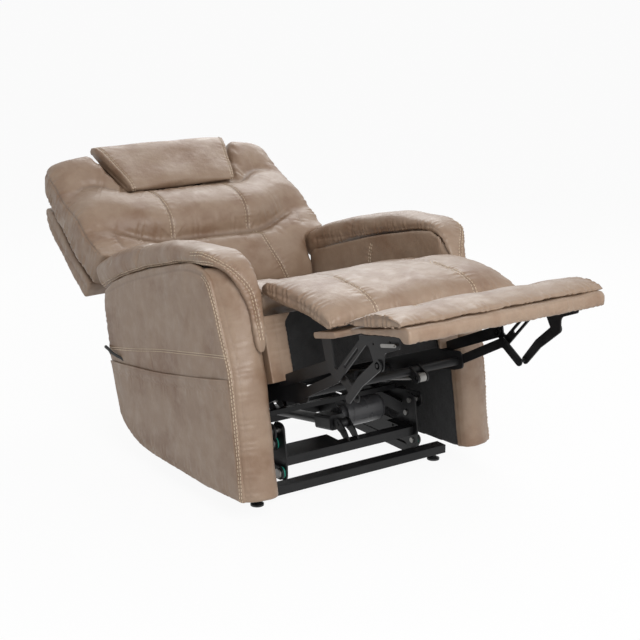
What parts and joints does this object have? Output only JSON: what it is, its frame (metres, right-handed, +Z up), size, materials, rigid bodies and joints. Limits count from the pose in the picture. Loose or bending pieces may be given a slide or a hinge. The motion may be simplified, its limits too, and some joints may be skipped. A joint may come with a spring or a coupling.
{
  "type": "lift recliner chair",
  "caption": "Powered lift recliner with tilting body, linked legrest, reclining back, headrest and side handset.",
  "frame": {"origin": "on the floor under the middle of the chair's box in its rest pose", "axes": "+Z up, the sitter faces -Y, +X towards the sitter's left"},
  "size_m": [0.8926, 1.8014, 0.8667],
  "materials": {
    "taupe_leather": "soft matt, faint grain",
    "black_steel": "satin black paint",
    "zinc": "zinc plate",
    "green_nylon": "moulded nylon",
    "dust_cloth": "black non-woven",
    "pine": "sawn",
    "black_plastic": "moulded",
    "grey_plastic": "moulded",
    "motor_paint": "satin",
    "lead_rubber": "matt"
  },
  "bodies": {
    "base": {"base_front_rail": "black_steel", "base_side_rails": "black_steel", "base_rear_rail": "black_steel", "levelling_feet": "black_plastic", "base_brackets": "black_steel"},
    "lower_arms": {"lower_lift_arms": "black_steel"},
    "upper_arms": {"upper_lift_arms": "black_steel"},
    "lift_frame": {"front_plates": "black_steel", "front_crossbar": "black_steel", "frame_rails": "black_steel", "pivot_bolts": "zinc", "nylon_washers": "green_nylon"},
    "lift_housing": {"lift_actuator_casing": "black_plastic", "lift_motor": "motor_paint"},
    "lift_ram": {"lift_rod": "zinc"},
    "tilt_housing": {"tilt_actuator_casing": "black_plastic"},
    "tilt_ram": {"tilt_rod": "zinc"},
    "chair_body": {"body_rails": "black_steel", "right_arm_panel": "taupe_leather", "left_arm_panel": "taupe_leather", "right_arm_front": "taupe_leather", "left_arm_front": "taupe_leather", "arm_linings": "taupe_leather", "right_arm_pad": "taupe_leather", "left_arm_pad": "taupe_leather", "side_pocket": "taupe_leather", "control_box": "black_plastic", "handset": "black_plastic", "handset_lead": "lead_rubber"},
    "lift_button": {"lift_rocker": "grey_plastic"},
    "back_button": {"back_rocker": "grey_plastic"},
    "legrest_button": {"legrest_rocker": "grey_plastic"},
    "seat": {"seat_plates": "black_steel", "seat_box": "pine", "front_end_panels": "taupe_leather", "front_fabric": "dust_cloth", "seat_cushion": "taupe_leather"},
    "push_links": {"seat_lift_links": "black_steel"},
    "chaise": {"chaise_pad": "taupe_leather", "middle_board": "taupe_leather"},
    "long_arms": {"long_links": "black_steel"},
    "short_arms": {"short_links": "black_steel"},
    "slotted_arms": {"slotted_links": "black_steel"},
    "outer_arms": {"outer_links": "black_steel"},
    "footrest": {"ottoman_brackets": "black_steel", "footrest_board": "taupe_leather", "footrest_pad": "taupe_leather", "return_springs": "zinc"},
    "legrest_housing": {"legrest_actuator_casing": "black_plastic"},
    "legrest_ram": {"legrest_rod": "zinc"},
    "back": {"back_brackets": "black_steel", "back_shell": "taupe_leather", "lumbar_cushion": "taupe_leather", "middle_cushion": "taupe_leather", "top_cushion": "taupe_leather", "headrest_arms": "black_steel"},
    "headrest": {"headrest_panel": "taupe_leather", "headrest_bracket": "black_steel"},
    "back_housing": {"back_actuator_casing": "black_plastic"},
    "back_ram": {"back_rod": "zinc"}
  },
  "joints": [
    {"name": "lift_swing", "type": "hinge", "parent": "base", "child": "lower_arms", "pos_m": [0, 0.235, 0.069], "axis": [-1, 0, 0], "range_deg": [0, 50]},
    {"name": "upper_arm_swing", "type": "hinge", "parent": "base", "child": "upper_arms", "pos_m": [0, 0.258, 0.183], "axis": [-1, 0, 0], "range_deg": [0, 51]},
    {"name": "lift_frame_swing", "type": "hinge", "parent": "lower_arms", "child": "lift_frame", "pos_m": [0, -0.25, 0.08], "axis": [1, 0, 0], "range_deg": [0, 70.5]},
    {"name": "lift_housing_swing", "type": "hinge", "parent": "lift_frame", "child": "lift_housing", "pos_m": [0, -0.189, 0.158], "axis": [-1, 0, 0], "range_deg": [0, 69.1]},
    {"name": "lift_ram_slide", "type": "slide", "parent": "lift_housing", "child": "lift_ram", "axis": [0, 0.9863, -0.1651], "range_m": [0, 0.0975]},
    {"name": "body_tilt", "type": "hinge", "parent": "lift_frame", "child": "chair_body", "pos_m": [0, -0.233, 0.2], "axis": [1, 0, 0], "range_deg": [0, 10]},
    {"name": "tilt_housing_swing", "type": "hinge", "parent": "lift_frame", "child": "tilt_housing", "pos_m": [0, 0.147, 0.112], "axis": [-1, 0, 0], "range_deg": [0, 4.4]},
    {"name": "tilt_ram_slide", "type": "slide", "parent": "tilt_housing", "child": "tilt_ram", "axis": [0, -0.8779, 0.4789], "range_m": [0, 0.0218]},
    {"name": "seat_rise", "type": "hinge", "parent": "chair_body", "child": "seat", "pos_m": [0, 0.02362, 0.21568], "axis": [1, 0, 0], "range_deg": [0, 7]},
    {"name": "push_link_swing", "type": "hinge", "parent": "chair_body", "child": "push_links", "pos_m": [0, 0.18236, 0.13692], "axis": [1, 0, 0], "range_deg": [0, 3]},
    {"name": "legrest_swing", "type": "hinge", "parent": "seat", "child": "long_arms", "pos_m": [0, -0.40173, 0.3567], "axis": [1, 0, 0], "range_deg": [0, 94.5]},
    {"name": "short_link_swing", "type": "hinge", "parent": "seat", "child": "short_arms", "pos_m": [0, -0.31272, 0.37079], "axis": [1, 0, 0], "range_deg": [0, 83]},
    {"name": "slotted_link_swing", "type": "hinge", "parent": "long_arms", "child": "slotted_arms", "pos_m": [0, -0.58531, 0.4557], "axis": [-1, 0, 0], "range_deg": [0, 153.1]},
    {"name": "outer_link_swing", "type": "hinge", "parent": "long_arms", "child": "outer_arms", "pos_m": [0, -0.64998, 0.41691], "axis": [-1, 0, 0], "range_deg": [0, 156.8]},
    {"name": "footrest_swing", "type": "hinge", "parent": "slotted_arms", "child": "footrest", "pos_m": [0, -0.70226, 0.58452], "axis": [1, 0, 0], "range_deg": [0, 140.6]},
    {"name": "chaise_swing", "type": "hinge", "parent": "seat", "child": "chaise", "pos_m": [0, -0.27614, 0.58966], "axis": [1, 0, 0], "range_deg": [0, 30]},
    {"name": "legrest_housing_swing", "type": "hinge", "parent": "seat", "child": "legrest_housing", "pos_m": [0, -0.05591, 0.24627], "axis": [1, 0, 0], "range_deg": [0, 2]},
    {"name": "legrest_ram_slide", "type": "slide", "parent": "legrest_housing", "child": "legrest_ram", "axis": [0, 0.9679, -0.2514], "range_m": [0, 0.0479]},
    {"name": "back_recline", "type": "hinge", "parent": "seat", "child": "back", "pos_m": [0, 0.34733, 0.2997], "axis": [1, 0, 0], "range_deg": [0, 25]},
    {"name": "back_housing_swing", "type": "hinge", "parent": "seat", "child": "back_housing", "pos_m": [0, 0.01603, 0.2661], "axis": [1, 0, 0], "range_deg": [0, 0.4]},
    {"name": "back_ram_slide", "type": "slide", "parent": "back_housing", "child": "back_ram", "axis": [0, 0.9943, -0.1066], "range_m": [0, 0.0313]},
    {"name": "headrest_tilt", "type": "hinge", "parent": "back", "child": "headrest", "pos_m": [0, 0.70767, 0.71559], "axis": [1, 0, 0], "range_deg": [0, 30]},
    {"name": "lift_rocker_rock", "type": "hinge", "parent": "chair_body", "child": "lift_button", "pos_m": [-0.433, 0.28476, 0.25696], "axis": [0, 0.9848, -0.1736], "range_deg": [-5, 5], "stiffness_Nm_per_rad": 0.4},
    {"name": "back_rocker_rock", "type": "hinge", "parent": "chair_body", "child": "back_button", "pos_m": [-0.433, 0.27677, 0.21166], "axis": [0, 0.9848, -0.1736], "range_deg": [-5, 5], "stiffness_Nm_per_rad": 0.4},
    {"name": "legrest_rocker_rock", "type": "hinge", "parent": "chair_body", "child": "legrest_button", "pos_m": [-0.433, 0.26878, 0.16636], "axis": [0, 0.9848, -0.1736], "range_deg": [-5, 5], "stiffness_Nm_per_rad": 0.4}
  ],
  "couplings": [
    {"joint": "upper_arm_swing", "follows": "lift_swing", "ratio": 1.0127},
    {"joint": "lift_frame_swing", "follows": "lift_swing", "ratio": 1.405},
    {"joint": "lift_housing_swing", "follows": "lift_swing", "ratio": 1.3756},
    {"joint": "lift_ram_slide", "follows": "lift_swing", "m_per_rad": 0.11055},
    {"joint": "tilt_housing_swing", "follows": "body_tilt", "ratio": 0.41446},
    {"joint": "tilt_ram_slide", "follows": "body_tilt", "m_per_rad": 0.11902},
    {"joint": "seat_rise", "follows": "back_recline", "ratio": 0.28},
    {"joint": "push_link_swing", "follows": "back_recline", "ratio": 0.10924},
    {"joint": "short_link_swing", "follows": "legrest_swing", "ratio": 0.877},
    {"joint": "slotted_link_swing", "follows": "legrest_swing", "ratio": 1.619},
    {"joint": "outer_link_swing", "follows": "legrest_swing", "ratio": 1.658},
    {"joint": "footrest_swing", "follows": "legrest_swing", "ratio": 1.487},
    {"joint": "chaise_swing", "follows": "legrest_swing", "ratio": 0.317},
    {"joint": "legrest_housing_swing", "follows": "legrest_swing", "ratio": 0.01852},
    {"joint": "legrest_ram_slide", "follows": "legrest_swing", "m_per_rad": 0.02841},
    {"joint": "back_housing_swing", "follows": "back_recline", "ratio": 0.00573},
    {"joint": "back_ram_slide", "follows": "back_recline", "m_per_rad": 0.06942}
  ]
}
